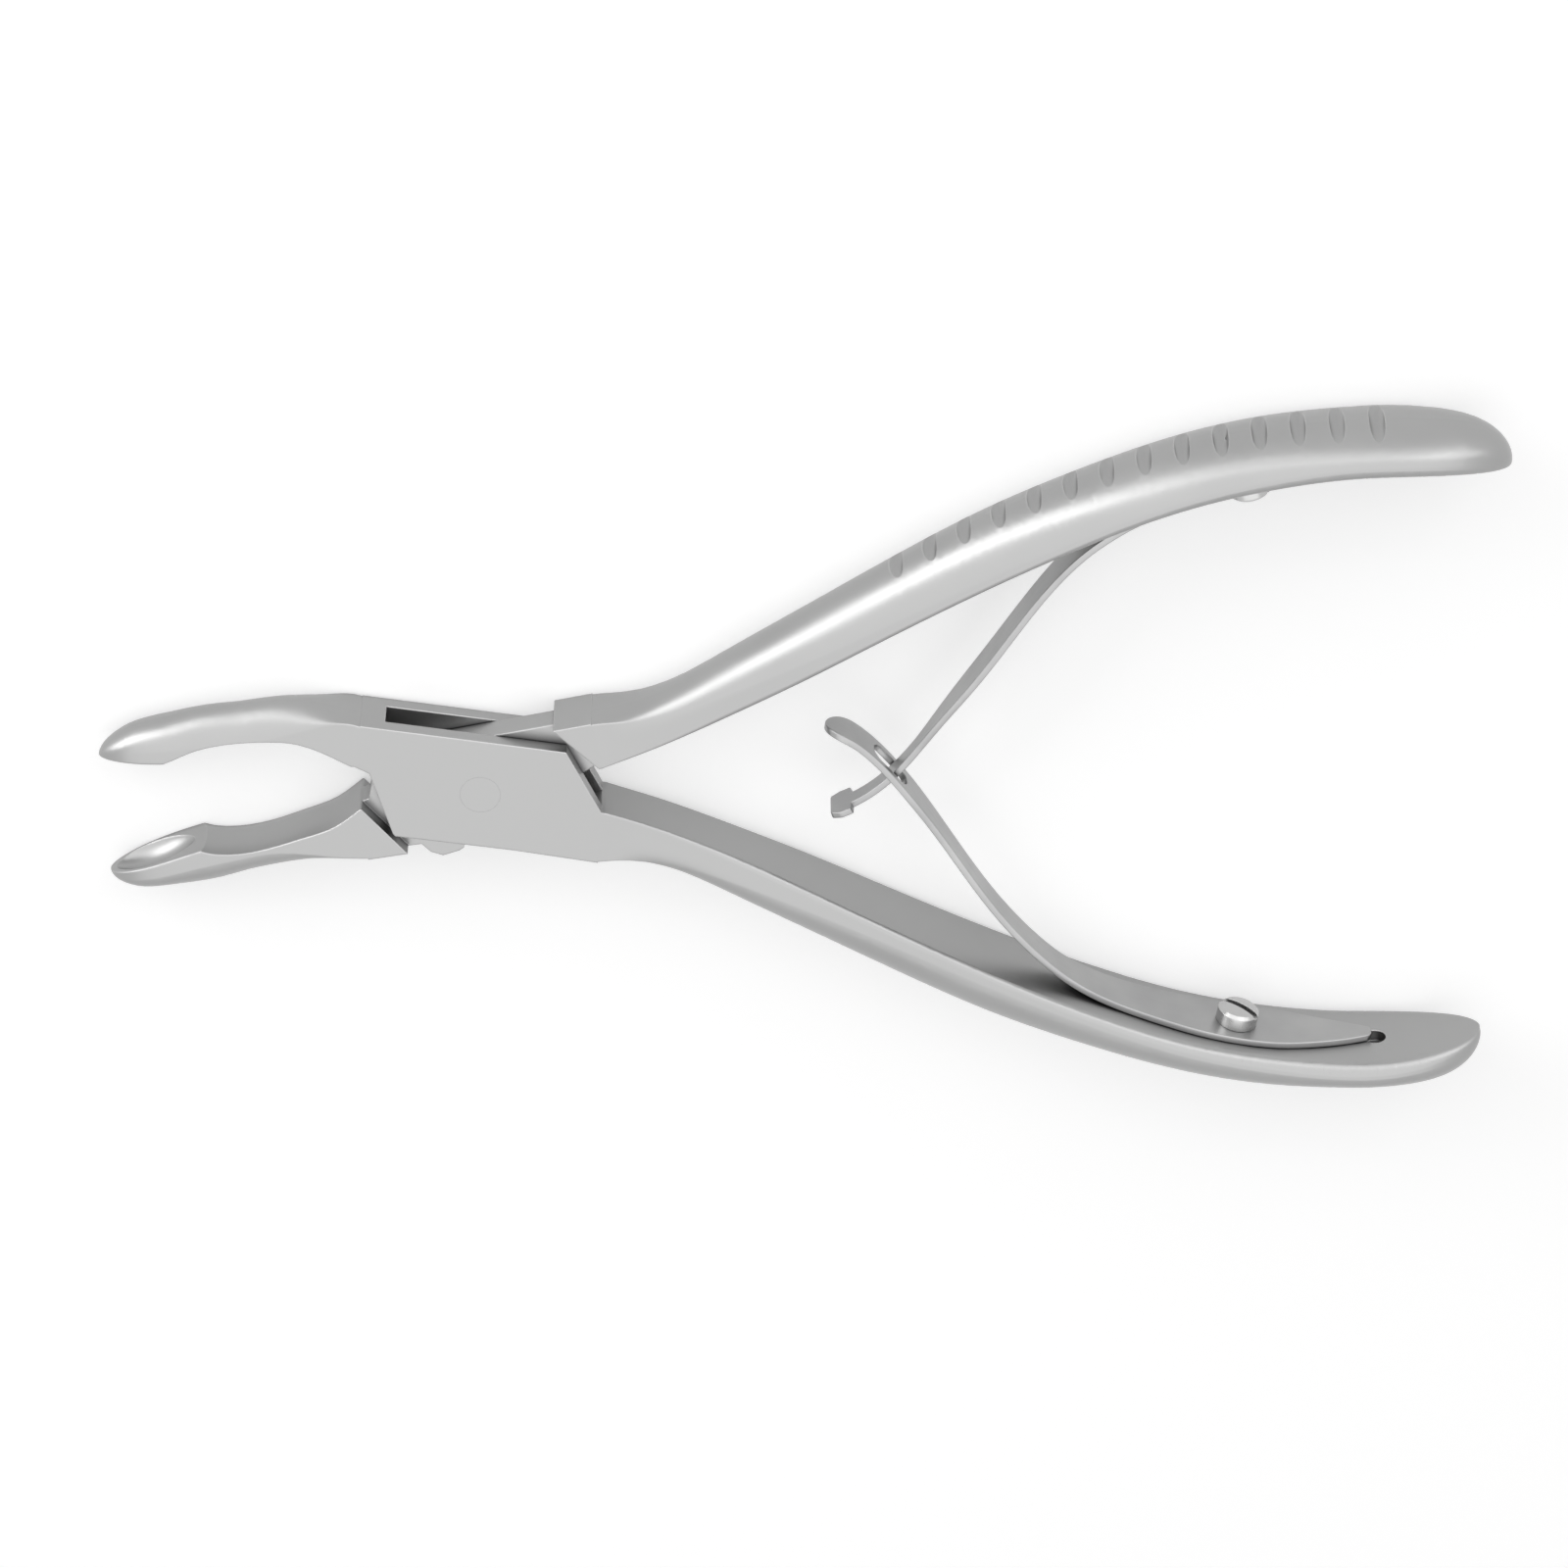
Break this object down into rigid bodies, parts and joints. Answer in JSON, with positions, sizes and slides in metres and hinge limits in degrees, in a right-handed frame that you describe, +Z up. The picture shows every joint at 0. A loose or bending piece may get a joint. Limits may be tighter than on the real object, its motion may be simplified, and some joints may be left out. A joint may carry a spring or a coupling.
{
  "type": "bone rongeur",
  "caption": "Hand-held bone rongeur with cupped jaws on a box lock, crowned grooved handles and a pair of crossed leaf springs that hold it open.",
  "frame": {"origin": "on the pivot axis, in the flat outer face of the box lock's lower cheek", "axes": "+Z up along the pivot axis through the box lock, +X from the pivot to the handles along the middle line of the open instrument, +Y towards the handle of the male half"},
  "size_m": [0.1388, 0.0758, 0.0111],
  "materials": {
    "satin_steel": "fine satin, beaten down with glass beads",
    "spring_steel": "ground and brushed along the leaf",
    "screw_steel": "turned and polished"
  },
  "bodies": {
    "female": {"female_half": "satin_steel", "pivot_pin": "satin_steel", "lower_spring_foot": "spring_steel", "lower_spring_screw": "screw_steel"},
    "male": {"male_half": "satin_steel", "upper_spring_foot": "spring_steel", "upper_spring_screw": "screw_steel"},
    "lower_arm": {"lower_spring_arm": "spring_steel"},
    "upper_arm": {"upper_spring_arm": "spring_steel"}
  },
  "joints": [
    {"name": "jaw_pivot", "type": "hinge", "parent": "female", "child": "male", "pos_m": [0, 0, 0.00295], "axis": [0, 0, -1], "range_deg": [0, 20], "stiffness_Nm_per_rad": 0.6, "springref_deg": -20.05},
    {"name": "lower_leaf_flex", "type": "hinge", "parent": "female", "child": "lower_arm", "pos_m": [0.05697, -0.02416, 0.00295], "axis": [0, 0, 1], "range_deg": [0, 17.05]},
    {"name": "upper_leaf_flex", "type": "hinge", "parent": "male", "child": "upper_arm", "pos_m": [0.06309, 0.02686, 0.00295], "axis": [0, 0, -1], "range_deg": [0, 14.5]}
  ],
  "couplings": [
    {"joint": "lower_leaf_flex", "follows": "jaw_pivot", "ratio": 0.85124},
    {"joint": "upper_leaf_flex", "follows": "jaw_pivot", "ratio": 0.72447}
  ]
}
